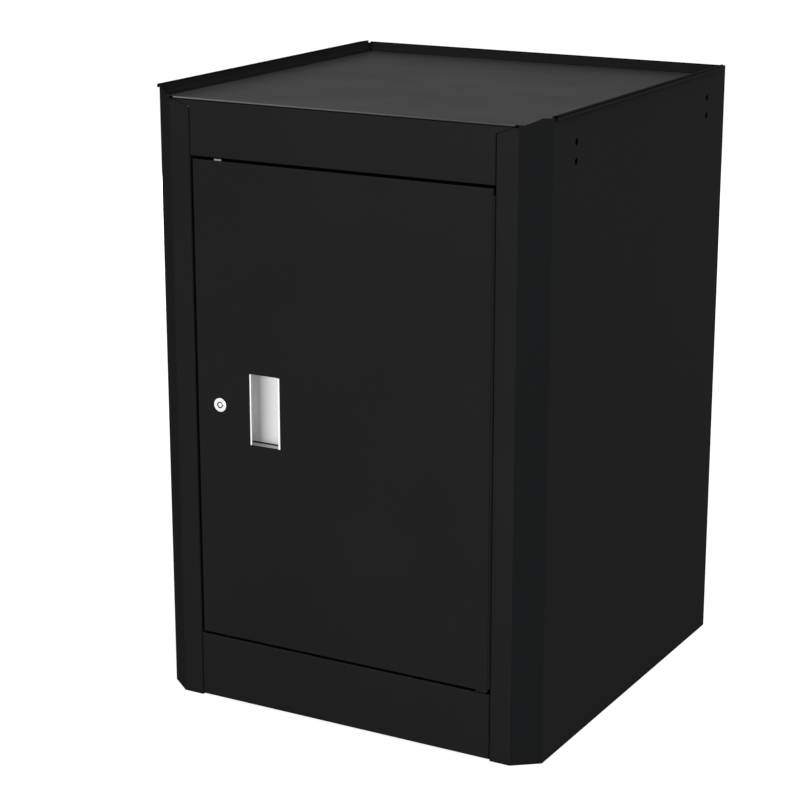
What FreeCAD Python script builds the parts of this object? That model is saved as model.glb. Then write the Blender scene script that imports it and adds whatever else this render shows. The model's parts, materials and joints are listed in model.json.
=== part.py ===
import FreeCAD, Part
import math
import os
import Sketcher

# A steel side locker: a hollow cabinet under a rimmed tray, closed by one door on a
# full-length hinge. A key lock in the door drives two rods, one up and one down.
#
# Frame: millimetres, +Z up, the origin on the floor under the middle of the cabinet.
# The door faces -Y, and +X is to the right of someone who faces it.

SIZES = {
    # Cabinet shell
    "width": 622.3,
    "depth": 635.0,
    "height": 914.4,
    "sheet": 1.2,
    "bend": 2.0,
    "corner_across": 36.5,
    "corner_back": 28.7,
    "stile_inset": 69.0,
    "return_depth": 28.0,
    "stop_lip": 14.0,
    "rear_flange": 15.0,
    "seam": 0.6,
    "fit_gap": 0.3,
    # Top edge of the side panels
    "hem_reach": 6.0,
    "hem_drop": 5.5,
    "hem_front_gap": 3.0,
    "hem_rear_gap": 11.0,
    "hem_rear_clip": 26.0,
    "shoulder_drop": 2.4,
    "shoulder_flat": 11.3,
    "shoulder_slope": 18.3,
    "rear_lip_drop": 2.8,
    "rear_notch_drop": 4.0,
    # Bolt holes that hang the locker on a tool chest
    "bolt_hole": 5.1,
    "bolt_front": 101.5,
    "bolt_rear": 70.7,
    "bolt_drop": 43.5,
    "bolt_pitch": 26.5,
    # Tray and header
    "tray_drop": 18.0,
    "rim_drop": 10.9,
    "ridge_width": 4.4,
    "ridge_seam": 1.0,
    "ridge_seam_depth": 0.8,
    "relief_drop": 0.8,
    "ear_inset": 42.0,
    "ear_drop": 13.0,
    "ear_fall": 11.0,
    "header_drop": 92.7,
    "header_lip": 12.0,
    "end_flange": 22.0,
    # Kick panel, floor and base
    "kick_top": 99.8,
    "kick_clearance": 1.8,
    "floor_flange": 18.0,
    "floor_front_gap": 4.0,
    "rail_leg": 40.0,
    "rail_sheet": 2.5,
    "rail_hole": 5.5,
    "rail_hole_end": 45.0,
    "rail_hole_pitch": 76.0,
    "rail_hole_inset": 24.0,
    "stiffener_width": 60.0,
    "stiffener_foot": 14.0,
    "stiffener_depth": 18.0,
    "stiffener_end_gap": 40.0,
    # Rivets of the back panel
    "rivet": 2.4,
    "rivet_head": 4.8,
    "rivet_tail": 3.6,
    "rivet_rise": 1.4,
    "rivet_end": 60.0,
    "rivet_number": 6,
    "rivet_clearance": 0.1,
    # Shelf standards, clips and shelves
    "standard_width": 19.0,
    "standard_depth": 6.0,
    "standard_front": 60.0,
    "standard_rear": 110.0,
    "standard_low_gap": 12.0,
    "standard_top_gap": 25.0,
    "slot_first": 20.0,
    "slot_pitch": 25.4,
    "slot_width": 12.0,
    "slot_tall": 4.0,
    "clip_width": 10.0,
    "clip_sheet": 2.0,
    "clip_ledge": 14.0,
    "clip_leg": 12.0,
    "clip_hook": 7.0,
    "clip_play": 0.3,
    "lower_shelf_slot": 8,
    "upper_shelf_slot": 18,
    "shelf_sheet": 1.0,
    "shelf_flange": 25.0,
    "shelf_hem": 12.0,
    "shelf_bend": 1.4,
    "shelf_side_gap": 2.0,
    "shelf_front_gap": 40.0,
    "shelf_rear_gap": 6.0,
    # Door
    "door_low": 103.7,
    "door_top_gap": 4.5,
    "latch_gap": 4.0,
    "hinge_gap": 3.0,
    "door_depth": 25.0,
    "door_lip": 12.0,
    "tab_width": 19.0,
    "tab_drop": 2.0,
    "rib_offset": 330.0,
    "rib_end_gap": 30.0,
    "bumper": 5.0,
    "bumper_inset": 9.0,
    "bumper_end": 60.0,
    "bumper_gap": 0.3,
    # Hinge
    "hinge_low_gap": 6.4,
    "hinge_top_gap": 8.4,
    "hinge_proud": 0.4,
    "pin": 1.0,
    "pin_play": 0.05,
    "knuckle": 1.85,
    "knuckle_number": 27,
    "knuckle_gap": 0.4,
    "leaf_sheet": 0.8,
    "leaf_depth": 18.0,
    "leaf_clearance": 0.4,
    # Recessed pull
    "pull_left": 89.9,
    "pull_width": 50.5,
    "pull_tall": 105.4,
    "pull_drop": 0.4,
    "pull_left_flange": 1.6,
    "pull_right_flange": 2.5,
    "pull_rise": 1.0,
    "pull_sheet": 0.8,
    "pull_depth": 14.5,
    "pull_undercut": 12.0,
    "pull_bend": 10.0,
    "pull_cave_bend": 3.0,
    "pull_round": 0.7,
    "pull_seam": 1.2,
    # Lock
    "lock_inset": 39.6,
    "lock_rise": 357.9,
    "bezel": 10.4,
    "bezel_rise": 2.6,
    "bezel_round": 0.9,
    "bezel_groove": 7.2,
    "bezel_groove_width": 0.4,
    "bezel_groove_depth": 0.3,
    "barrel": 9.5,
    "barrel_flat": 8.2,
    "barrel_length": 13.0,
    "lock_nut_flat": 12.0,
    "lock_nut_thick": 3.5,
    "keyway": 4.9,
    "key_post": 3.2,
    "keyway_notch": 1.4,
    "keyway_depth": 7.5,
    "plug": 6.2,
    "plug_play": 0.05,
    "plug_tail": 4.5,
    "plug_tail_flat": 3.4,
    "cam_gap": 0.3,
    "cam_sheet": 2.0,
    "cam_half_width": 6.0,
    "cam_pin": 2.0,
    "cam_pin_reach": 14.0,
    "cam_screw": 1.9,
    "cam_screw_head": 3.4,
    "cam_screw_rise": 2.2,
    "cam_screw_length": 9.0,
    "cam_cross_reach": 2.4,
    "cam_cross_half": 0.5,
    # Lock rods
    "rod_width": 12.0,
    "rod_thick": 3.0,
    "rod_setback": 5.0,
    "rod_low_play": 0.4,
    "rod_tip_rise": 2.0,
    "rod_point": 3.0,
    "rod_bevel": 1.0,
    "rod_play": 0.6,
    "rod_joggle_start": 42.0,
    "rod_joggle": 28.0,
    "foot_inner": 5.0,
    "foot_outer": 2.5,
    "foot_tall": 7.0,
    "foot_neck": 26.0,
    "slot_play": 0.7,
    "guide_width": 26.0,
    "guide_tall": 14.0,
    "guide_wall": 2.5,
    "guide_end": 52.0,
    "keeper_width": 46.0,
    "keeper_depth": 20.0,
    "keeper_thick": 2.5,
}

FRONT_PLANE = "XZ_Plane"
SIDE_PLANE = "YZ_Plane"
LEVEL_PLANE = "XY_Plane"


class Size:
    """A length that knows its value and how the spreadsheet works it out."""

    def __init__(self, value, text):
        self.value = float(value)
        self.text = text

    def __add__(self, other):
        other = as_size(other)
        return Size(self.value + other.value, f"({self.text} + {other.text})")

    def __radd__(self, other):
        return as_size(other) + self

    def __sub__(self, other):
        other = as_size(other)
        return Size(self.value - other.value, f"({self.text} - {other.text})")

    def __rsub__(self, other):
        return as_size(other) - self

    def __mul__(self, other):
        other = as_size(other)
        return Size(self.value * other.value, f"({self.text} * {other.text})")

    def __rmul__(self, other):
        return as_size(other) * self

    def __truediv__(self, other):
        other = as_size(other)
        return Size(self.value / other.value, f"({self.text} / {other.text})")

    def __neg__(self):
        return Size(-self.value, f"(-{self.text})")


def as_size(number):
    """Return number as a Size."""
    if isinstance(number, Size):
        return number
    return Size(number, f"({number})")


def root(size):
    """Return the square root of a Size."""
    return Size(math.sqrt(size.value), f"sqrt({size.text})")


def by_value(size):
    """Order sizes by their value."""
    return size.value


class SizeTable:
    """The spreadsheet of driving sizes, read by name."""

    def __init__(self, document, sizes):
        sheet = document.addObject("Spreadsheet::Sheet", "Sizes")
        for row, (alias, number) in enumerate(sizes.items(), start=1):
            sheet.set(f"A{row}", alias)
            sheet.set(f"B{row}", str(number))
            sheet.setAlias(f"B{row}", alias)
        for alias, number in sizes.items():
            setattr(self, alias, Size(number, f"Sizes.{alias}"))


doc = FreeCAD.newDocument("side_locker")
s = SizeTable(doc, SIZES)
doc.recompute()

nodes = []


# ---------------------------------------------------------------- modelling helpers


def new_body(name):
    """Start one sub-part: an empty body that carries its node's name."""
    body = doc.addObject("PartDesign::Body", name)
    body.Label = name
    nodes.append(body)
    return body


def origin_feature(body, role):
    """Return the origin plane or axis of body that has this role."""
    return [item for item in body.Origin.OriginFeatures if item.Role == role][0]


def new_sketch(body, plane, at=0):
    """Add a sketch on the level, front or side plane, at this coordinate on its axis."""
    sketch = body.newObject("Sketcher::SketchObject", f"{body.Name}_sketch")
    sketch.AttachmentSupport = [(origin_feature(body, plane), "")]
    sketch.MapMode = "FlatFace"
    offset = as_size(at)
    if plane == FRONT_PLANE:
        offset = -offset
    sketch.setExpression("AttachmentOffset.Base.z", offset.text)
    return sketch


def tie_point(sketch, curve, point, place):
    """Tie one point of a sketch's curve to a place that the sizes give."""
    for kind, distance in zip(("DistanceX", "DistanceY"), place):
        distance = as_size(distance)
        rule = Sketcher.Constraint(kind, -1, 1, curve, point, distance.value)
        sketch.setExpression(f"Constraints[{sketch.addConstraint(rule)}]", distance.text)


def draw_outline(sketch, corners):
    """Draw a closed outline through the corners."""
    first = sketch.GeometryCount
    places = [[as_size(number) for number in corner] for corner in corners]
    vectors = [FreeCAD.Vector(x.value, y.value, 0) for x, y in places]
    count = len(corners)
    for start, end in zip(vectors, vectors[1:] + vectors[:1]):
        sketch.addGeometry(Part.LineSegment(start, end), False)
    for index in range(count):
        following = first + (index + 1) % count
        rule = Sketcher.Constraint("Coincident", first + index, 2, following, 1)
        sketch.addConstraint(rule)
    for index, place in enumerate(places):
        tie_point(sketch, first + index, 1, place)


def draw_box(sketch, left, low, right, top):
    """Draw a rectangle between two opposite corners."""
    draw_outline(sketch, [(left, low), (right, low), (right, top), (left, top)])


def draw_circle(sketch, across, along, radius):
    """Draw a circle about a place that the sizes give."""
    across, along, radius = as_size(across), as_size(along), as_size(radius)
    centre = FreeCAD.Vector(across.value, along.value, 0)
    up = FreeCAD.Vector(0, 0, 1)
    curve = sketch.addGeometry(Part.Circle(centre, up, radius.value), False)
    tie_point(sketch, curve, 3, (across, along))
    rule = Sketcher.Constraint("Radius", curve, radius.value)
    sketch.setExpression(f"Constraints[{sketch.addConstraint(rule)}]", radius.text)


def faces_along(sketch):
    """Return the sign of the sketch's own normal on its axis."""
    return -1 if sketch.AttachmentSupport[0][0].Role == FRONT_PLANE else 1


def add_pad(body, sketch, length, toward=1):
    """Raise the sketch into material, along its axis (1) or against it (-1)."""
    pad = body.newObject("PartDesign::Pad", f"{body.Name}_pad")
    pad.Profile = sketch
    pad.setExpression("Length", as_size(length).text)
    pad.Reversed = toward != faces_along(sketch)
    return pad


def add_pocket(body, sketch, length, toward=-1):
    """Cut the sketch out of the body, along its axis (1) or against it (-1)."""
    pocket = body.newObject("PartDesign::Pocket", f"{body.Name}_pocket")
    pocket.Profile = sketch
    pocket.setExpression("Length", as_size(length).text)
    pocket.Reversed = toward == faces_along(sketch)
    return pocket


def pad_box(body, plane, at, corners, length, toward=1):
    """Raise a rectangle, given as left, low, right, top, from a plane."""
    sketch = new_sketch(body, plane, at)
    draw_box(sketch, *corners)
    return add_pad(body, sketch, length, toward)


def cut_box(body, plane, at, corners, length, toward=-1):
    """Cut a rectangle, given as left, low, right, top, from a plane."""
    sketch = new_sketch(body, plane, at)
    draw_box(sketch, *corners)
    return add_pocket(body, sketch, length, toward)


def pad_outline(body, plane, at, corners, length, toward=1):
    """Raise a closed outline from a plane."""
    sketch = new_sketch(body, plane, at)
    draw_outline(sketch, corners)
    return add_pad(body, sketch, length, toward)


def cut_outline(body, plane, at, corners, length, toward=-1):
    """Cut a closed outline from a plane."""
    sketch = new_sketch(body, plane, at)
    draw_outline(sketch, corners)
    return add_pocket(body, sketch, length, toward)


def pad_discs(body, plane, at, centres, radius, length, toward=1):
    """Raise equal discs about several centres."""
    sketch = new_sketch(body, plane, at)
    for across, along in centres:
        draw_circle(sketch, across, along, radius)
    return add_pad(body, sketch, length, toward)


def cut_discs(body, plane, at, centres, radius, length, toward=-1):
    """Drill equal round holes about several centres."""
    sketch = new_sketch(body, plane, at)
    for across, along in centres:
        draw_circle(sketch, across, along, radius)
    return add_pocket(body, sketch, length, toward)


def repeat(body, features, axis, pitch, number):
    """Repeat features in a row along an axis of the body."""
    row = body.newObject("PartDesign::LinearPattern", f"{body.Name}_row")
    row.Originals = features
    row.Direction = (origin_feature(body, axis), [""])
    row.Mode = "Spacing"
    row.setExpression("Offset", as_size(pitch).text)
    row.setExpression("Occurrences", as_size(number).text)
    body.Tip = row
    return row


def round_edges(body, radius, chosen):
    """Round the edges of the body for which chosen(edge) holds."""
    doc.recompute()
    base = body.Tip
    names = [f"Edge{i}" for i, edge in enumerate(base.Shape.Edges, start=1) if chosen(edge)]
    fillet = body.newObject("PartDesign::Fillet", f"{body.Name}_fillet")
    fillet.Base = (base, names)
    fillet.setExpression("Radius", as_size(radius).text)
    return fillet


def passes(edge, direction, **place):
    """Say whether a straight edge runs this way and has its middle at these coordinates."""
    if not isinstance(edge.Curve, Part.Line):
        return False
    if abs(edge.Curve.Direction.dot(direction)) < 0.999:
        return False
    middle = edge.CenterOfMass
    return all(
        any(abs(getattr(middle, axis) - value.value) < 0.01 for value in values)
        for axis, values in place.items()
    )


ALONG_X = FreeCAD.Vector(1, 0, 0)
ALONG_Y = FreeCAD.Vector(0, 1, 0)
ALONG_Z = FreeCAD.Vector(0, 0, 1)


# ---------------------------------------------------------------- places worked out

side = s.width / 2
front = -s.depth / 2
rear = s.depth / 2
side_inner = side - s.sheet
rear_flange_outer = rear - s.sheet
rear_flange_inner = rear_flange_outer - s.sheet
stile_edge = side - s.stile_inset
corner_edge = side - s.corner_across
corner_end = front + s.corner_back
return_end = front + s.return_depth
return_face = return_end - s.sheet

rim_top = s.height - s.rim_drop
tray_top = s.height - s.tray_drop
tray_under = tray_top - s.sheet
header_low = s.height - s.header_drop
header_edge = stile_edge - s.seam
ear_edge = side - s.ear_inset
ear_end = ear_edge - s.seam

floor_top = s.kick_top - s.sheet
floor_under = floor_top - s.sheet

door_top = header_low - s.door_top_gap
door_left = -stile_edge + s.latch_gap
door_right = stile_edge - s.hinge_gap
door_back = front + s.door_depth
skin_inner = front + s.sheet

hinge_across = stile_edge - s.hinge_gap / 2
hinge_along = front - s.hinge_proud
hinge_low = s.door_low + s.hinge_low_gap
hinge_length = door_top - s.hinge_top_gap - hinge_low

lock_across = door_left + s.lock_inset
lock_level = s.door_low + s.lock_rise
rod_front = front + s.rod_setback
rod_rear = rod_front + s.rod_thick
plug_end = front + s.barrel_length + s.cam_gap
cam_end = plug_end + s.cam_sheet
foot_front = cam_end + s.rod_low_play
foot_rear = foot_front + s.rod_thick
cam_pin_offset = s.cam_pin_reach / root(as_size(2))

standard_face = side_inner - s.standard_depth
standard_low = floor_top + s.standard_low_gap
standard_length = tray_under - s.standard_top_gap - standard_low
first_slot = standard_low + s.slot_first


# ---------------------------------------------------------------- cabinet shell


def corner_miters():
    """Return how far the sheet's inner bend lines shift at the slanted corner.

    The corner panel leaves the stile at the angle whose tangent is
    corner_back / corner_across, and each bend line moves by the sheet times the tangent
    of half the turn.
    """
    slant = root(s.corner_across * s.corner_across + s.corner_back * s.corner_back)
    at_stile = s.sheet * (slant - s.corner_across) / s.corner_back
    at_side = s.sheet * (slant - s.corner_back) / s.corner_across
    return at_stile, at_side


def side_outline(hand):
    """Return the plan of one side panel: rear flange, side, corner, stile and return."""
    at_stile, at_side = corner_miters()
    flange_end = side - s.rear_flange
    lip_end = stile_edge - s.stop_lip
    plan = [
        (flange_end, rear_flange_outer),
        (side, rear_flange_outer),
        (side, corner_end),
        (corner_edge, front),
        (stile_edge, front),
        (stile_edge, return_face),
        (lip_end, return_face),
        (lip_end, return_end),
        (stile_edge + s.sheet, return_end),
        (stile_edge + s.sheet, skin_inner),
        (corner_edge - at_stile, skin_inner),
        (side_inner, corner_end + at_side),
        (side_inner, rear_flange_inner),
        (flange_end, rear_flange_inner),
    ]
    return [(hand * across, along) for across, along in plan]


def cut_front_shoulder(body, hand):
    """Lower the top edge of the stile and of the slanted corner in steps."""
    ear_top = s.height - s.ear_drop - s.seam
    ear_low = ear_top - s.ear_fall
    relief_low = ear_top - s.relief_drop
    slope_end = side - s.shoulder_flat
    slope_start = slope_end - s.shoulder_slope
    high_top = s.height - s.shoulder_drop
    clear_top = s.height + s.sheet
    lip_clear = stile_edge - s.stop_lip - s.sheet
    step = [
        (lip_clear, clear_top),
        (lip_clear, ear_low),
        (stile_edge, ear_low),
        (ear_edge, ear_top),
        (ear_edge, relief_low),
        (corner_edge, relief_low),
        (corner_edge, rim_top),
        (slope_start, rim_top),
        (slope_end, high_top),
        (side, high_top),
        (side, clear_top),
    ]
    corners = [(hand * across, level) for across, level in step]
    cut_outline(body, FRONT_PLANE, front, corners, s.corner_back, 1)


def add_hem(body, hand):
    """Fold the side's top edge outward and down into an open hem."""
    outer = side + s.hem_reach
    low = s.height - s.hem_drop
    start = corner_end + s.hem_front_gap
    length = rear - s.hem_rear_gap - start
    fold = [
        (side_inner, s.height - s.sheet),
        (outer - s.sheet, s.height - s.sheet),
        (outer - s.sheet, low),
        (outer, low),
        (outer, s.height),
        (side_inner, s.height),
    ]
    corners = [(hand * across, level) for across, level in fold]
    pad_outline(body, FRONT_PLANE, start, corners, length, 1)

    def hem_bend(edge):
        return passes(edge, ALONG_Y, x=[hand * outer], z=[s.height])

    round_edges(body, s.bend, hem_bend)
    # The hem's rear end is clipped on a slant, back to the face of the side.
    end = start + length
    clip = [
        (hand * side, end),
        (hand * outer, end - s.hem_rear_clip),
        (hand * outer, end),
    ]
    cut_outline(body, LEVEL_PLANE, s.height, clip, s.hem_drop, -1)


def cut_rear_corner(body, hand):
    """Lower the rear flange to the back panel's top, and notch the side before it."""
    cuts = [
        (side - s.rear_flange, rear_flange_inner, rear, s.rear_lip_drop),
        (side_inner - s.sheet, rear - s.hem_rear_gap, rear_flange_inner, s.rear_notch_drop),
    ]
    for inner, near, far, drop in cuts:
        left, right = sorted((hand * inner, hand * (side + s.sheet)), key=by_value)
        cut_box(body, LEVEL_PLANE, s.height, (left, near, right, far), drop, -1)


def bolt_levels():
    """Return the levels of the two bolt holes of a pair."""
    upper = s.height - s.bolt_drop
    return upper, upper - s.bolt_pitch


def trim_stop_lip(body, hand):
    """End the stop lip between kick panel and header, and its flange under the tray."""
    lip_clear = stile_edge - s.stop_lip - s.sheet
    flange_clear = stile_edge + s.sheet + s.seam
    cuts = [
        (lip_clear, stile_edge, s.kick_top + s.seam, s.kick_top + s.seam),
        (lip_clear, stile_edge, s.height, s.height - header_low + s.seam),
        (lip_clear, flange_clear, s.height, s.height - tray_under + s.seam),
    ]
    for near, far, level, length in cuts:
        left, right = sorted((hand * near, hand * far), key=by_value)
        box = (left, skin_inner, right, return_end + s.sheet)
        cut_box(body, LEVEL_PLANE, level, box, length, -1)


def make_side_panel(name, hand):
    """Make one side of the cabinet, folded from one sheet; hand is 1 on the right."""
    body = new_body(name)
    pad_outline(body, LEVEL_PLANE, 0, side_outline(hand), s.height)
    bend_lines = [hand * corner_edge, hand * stile_edge, hand * side]

    def outer_bend(edge):
        return passes(edge, ALONG_Z, x=bend_lines, y=[front, corner_end, rear_flange_outer])

    round_edges(body, s.bend, outer_bend)
    cut_front_shoulder(body, hand)
    trim_stop_lip(body, hand)
    cut_rear_corner(body, hand)
    add_hem(body, hand)
    alongs = (front + s.bolt_front, rear - s.bolt_rear)
    centres = [(along, level) for along in alongs for level in bolt_levels()]
    cut_discs(body, SIDE_PLANE, hand * side, centres, s.bolt_hole, s.sheet, -hand)
    rivets = [(hand * across, level) for across, level in rivet_centres()]
    cut_discs(
        body, FRONT_PLANE, rear_flange_outer, rivets, s.rivet + s.rivet_clearance, s.sheet, -1
    )


def rivet_centres():
    """Return the places of the right-hand row of rivets in the back panel."""
    across = side - s.rear_flange / 2
    span = s.height - s.rivet_end * 2
    number = int(s.rivet_number.value)
    return [(across, s.rivet_end + span * (i / (number - 1))) for i in range(number)]


def make_back_panel():
    """Make the flat back, which laps the rear flanges of both sides."""
    body = new_body("back_panel")
    top = s.height - s.rear_lip_drop
    pad_box(body, FRONT_PLANE, rear_flange_outer, (-side, 0, side, top), s.sheet, 1)
    for hand in (-1, 1):
        rivets = [(hand * across, level) for across, level in rivet_centres()]
        cut_discs(body, FRONT_PLANE, rear, rivets, s.rivet + s.rivet_clearance, s.sheet, -1)


def make_back_panel_rivets():
    """Make the rivets that hold the back panel, each with a head on both faces."""
    body = new_body("back_panel_rivets")
    centres = [(hand * across, level) for hand in (-1, 1) for across, level in rivet_centres()]
    inner = rear_flange_inner - s.rivet_rise
    pad_discs(body, FRONT_PLANE, inner, centres, s.rivet_tail, s.rivet_rise, 1)
    pad_discs(body, FRONT_PLANE, rear_flange_inner, centres, s.rivet, s.sheet * 2, 1)
    pad_discs(body, FRONT_PLANE, rear, centres, s.rivet_head, s.rivet_rise, 1)


# ---------------------------------------------------------------- tray and header


def tray_plan(inset):
    """Return the plan of the tray, drawn in from the inside of the shell by inset."""
    at_stile, at_side = corner_miters()
    across = side_inner - inset
    shift = inset / s.sheet
    corner_along = corner_end + at_side * (1 + shift)
    corner_across = corner_edge - at_stile * (1 + shift)
    right = [
        (corner_across, skin_inner + inset),
        (across, corner_along),
        (across, rear_flange_inner - inset),
    ]
    left = [(-x, y) for x, y in reversed(right)]
    return right + left


def add_header(body):
    """Add the header panel below the ears, with its folds and its end flanges."""
    top = s.height - s.ear_drop - s.ear_fall
    panel = (-header_edge, header_low, header_edge, top)
    pad_box(body, FRONT_PLANE, front, panel, s.sheet, 1)
    shelf = (-header_edge, header_low, header_edge, header_low + s.sheet)
    pad_box(body, FRONT_PLANE, front, shelf, s.return_depth, 1)
    lip = (-header_edge, header_low, header_edge, header_low + s.header_lip)
    pad_box(body, FRONT_PLANE, return_face, lip, s.sheet, 1)
    for hand in (-1, 1):
        edges = sorted((hand * header_edge, hand * (header_edge - s.sheet)), key=by_value)
        flange = (edges[0], header_low, edges[1], top)
        pad_box(body, FRONT_PLANE, front, flange, s.end_flange, 1)

    def panel_fold(edge):
        low_fold = passes(edge, ALONG_X, y=[front], z=[header_low])
        return low_fold or passes(edge, ALONG_Z, x=[header_edge, -header_edge], y=[front])

    round_edges(body, s.bend, panel_fold)


def add_ridge(body):
    """Add the ears over the stiles, and the ridge that joins them to the tray."""
    ear_top = s.height - s.ear_drop
    ear_low = ear_top - s.ear_fall
    ears = [
        (-header_edge, ear_low),
        (header_edge, ear_low),
        (ear_end, ear_top),
        (ear_end, rim_top),
        (-ear_end, rim_top),
        (-ear_end, ear_top),
    ]
    pad_outline(body, FRONT_PLANE, front, ears, s.sheet, 1)
    crown = (-ear_end, rim_top - s.sheet, ear_end, rim_top)
    pad_box(body, FRONT_PLANE, front, crown, s.ridge_width, 1)
    wall = (-ear_end, tray_under, ear_end, rim_top)
    pad_box(body, FRONT_PLANE, front + s.ridge_width - s.sheet, wall, s.sheet, 1)

    def fold(edge):
        return passes(edge, ALONG_X, y=[front, front + s.ridge_width], z=[rim_top])

    round_edges(body, s.bend, fold)


def close_ridge_ends(body):
    """Run the wall behind the ridge on past both its ends, into the slanted rims."""
    for hand in (-1, 1):
        ends = (hand * ear_end, hand * (corner_edge + s.sheet))
        left, right = sorted(ends, key=by_value)
        wall = (left, tray_under, right, rim_top)
        pad_box(body, FRONT_PLANE, front + s.ridge_width - s.sheet, wall, s.sheet, 1)


def cut_ridge_seam(body):
    """Score the line below the ridge where its fold meets the header's face."""
    top = rim_top - s.bend
    seam = (-ear_end, top - s.ridge_seam, ear_end, top)
    cut_box(body, FRONT_PLANE, front, seam, s.ridge_seam_depth, 1)


def cut_rod_slot(body, level, thickness):
    """Cut the slot that a lock rod passes, down from this level."""
    reach = s.rod_width / 2 + s.rod_play
    slot = (
        lock_across - reach,
        rod_front - s.rod_play,
        lock_across + reach,
        rod_rear + s.rod_play,
    )
    cut_box(body, LEVEL_PLANE, level, slot, thickness, -1)


def make_top_tray():
    """Make the tray, its low rim, the front ridge and the header in one folded sheet."""
    body = new_body("top_tray")
    pad_outline(body, LEVEL_PLANE, tray_under, tray_plan(as_size(0)), rim_top - tray_under)
    cut_outline(body, LEVEL_PLANE, rim_top, tray_plan(s.sheet), rim_top - tray_top, -1)
    # The ridge takes the place of the rim along the front.
    gap = (-corner_edge, skin_inner, corner_edge, front + s.ridge_width)
    cut_box(body, LEVEL_PLANE, rim_top, gap, rim_top - tray_under, -1)
    add_header(body)
    add_ridge(body)
    close_ridge_ends(body)
    cut_ridge_seam(body)
    cut_rod_slot(body, header_low + s.sheet, s.sheet)


def make_tray_stiffener():
    """Make the hat-shaped rib that carries the middle of the tray."""
    body = new_body("tray_stiffener")
    half = s.stiffener_width / 2
    web = half - s.stiffener_foot
    low = tray_under - s.stiffener_depth
    foot = tray_under - s.sheet
    hat = [
        (-half, tray_under),
        (-half, foot),
        (-web, foot),
        (-web, low),
        (web, low),
        (web, foot),
        (half, foot),
        (half, tray_under),
        (web - s.sheet, tray_under),
        (web - s.sheet, low + s.sheet),
        (-web + s.sheet, low + s.sheet),
        (-web + s.sheet, tray_under),
    ]
    length = (side_inner - s.stiffener_end_gap) * 2
    pad_outline(body, SIDE_PLANE, -length / 2, hat, length)


# ---------------------------------------------------------------- kick panel and base


def make_kick_panel():
    """Make the panel below the door, with a flange on all four edges."""
    body = new_body("kick_panel")
    low = s.kick_clearance
    panel = (-header_edge, low, header_edge, s.kick_top)
    pad_box(body, FRONT_PLANE, front, panel, s.end_flange, 1)
    hollow = (
        -header_edge + s.sheet,
        low + s.sheet,
        header_edge - s.sheet,
        s.kick_top - s.sheet,
    )
    cut_box(body, FRONT_PLANE, front + s.end_flange, hollow, s.end_flange - s.sheet, -1)
    top = (-header_edge, s.kick_top - s.sheet, header_edge, s.kick_top)
    pad_box(body, FRONT_PLANE, front, top, s.return_depth, 1)
    cut_rod_slot(body, s.kick_top, s.sheet)

    def fold(edge):
        level = passes(edge, ALONG_X, y=[front], z=[s.kick_top, low])
        return level or passes(edge, ALONG_Z, y=[front], x=[header_edge, -header_edge])

    round_edges(body, s.bend, fold)


def make_floor_pan():
    """Make the locker's floor, with turned-down flanges at the sides and the rear."""
    body = new_body("floor_pan")
    wide_start = return_end + s.floor_front_gap
    tongue_start = front + s.end_flange / 2
    tongue = header_edge - s.sheet - s.fit_gap
    floor_end = rear_flange_inner
    plan = [
        (-tongue, tongue_start),
        (tongue, tongue_start),
        (tongue, wide_start),
        (side_inner, wide_start),
        (side_inner, floor_end),
        (-side_inner, floor_end),
        (-side_inner, wide_start),
        (-tongue, wide_start),
    ]
    pad_outline(body, LEVEL_PLANE, floor_under, plan, s.sheet)
    low = floor_top - s.floor_flange
    for hand in (-1, 1):
        edges = sorted((hand * side_inner, hand * (side_inner - s.sheet)), key=by_value)
        flange = (edges[0], wide_start, edges[1], floor_end)
        pad_box(body, LEVEL_PLANE, low, flange, s.floor_flange)
    rear_fold = (-side_inner, floor_end - s.sheet, side_inner, floor_end)
    pad_box(body, LEVEL_PLANE, low, rear_fold, s.floor_flange)


def make_base_rail(name, hand):
    """Make the steel angle that one side of the locker stands on."""
    body = new_body(name)
    start = return_end + s.floor_front_gap
    end = rear_flange_inner - s.fit_gap
    wall = side_inner - s.rail_sheet
    toe = side_inner - s.rail_leg
    angle = [
        (side_inner, 0),
        (side_inner, s.rail_leg),
        (wall, s.rail_leg),
        (wall, s.rail_sheet),
        (toe, s.rail_sheet),
        (toe, 0),
    ]
    corners = [(hand * across, level) for across, level in angle]
    pad_outline(body, FRONT_PLANE, start, corners, end - start, 1)
    across = hand * (side_inner - s.rail_hole_inset)
    first, last = start + s.rail_hole_end, end - s.rail_hole_end
    alongs = (first, first + s.rail_hole_pitch, last - s.rail_hole_pitch, last)
    centres = [(across, along) for along in alongs]
    cut_discs(body, LEVEL_PLANE, s.rail_sheet, centres, s.rail_hole, s.rail_sheet, -1)


def make_rear_base_rail():
    """Make the steel angle across the rear, between the two side rails."""
    body = new_body("rear_base_rail")
    half = side_inner - s.rail_leg - s.fit_gap
    wall = rear_flange_outer - s.rail_sheet
    toe = rear_flange_outer - s.rail_leg
    angle = [
        (rear_flange_outer, 0),
        (rear_flange_outer, s.rail_leg),
        (wall, s.rail_leg),
        (wall, s.rail_sheet),
        (toe, s.rail_sheet),
        (toe, 0),
    ]
    pad_outline(body, SIDE_PLANE, -half, angle, half * 2)


# ---------------------------------------------------------------- shelves


def slot_count():
    """Return how many slots a shelf standard holds, which its length decides."""
    usable = standard_length.value - 2 * s.slot_first.value
    return int(usable // s.slot_pitch.value) + 1


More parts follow.
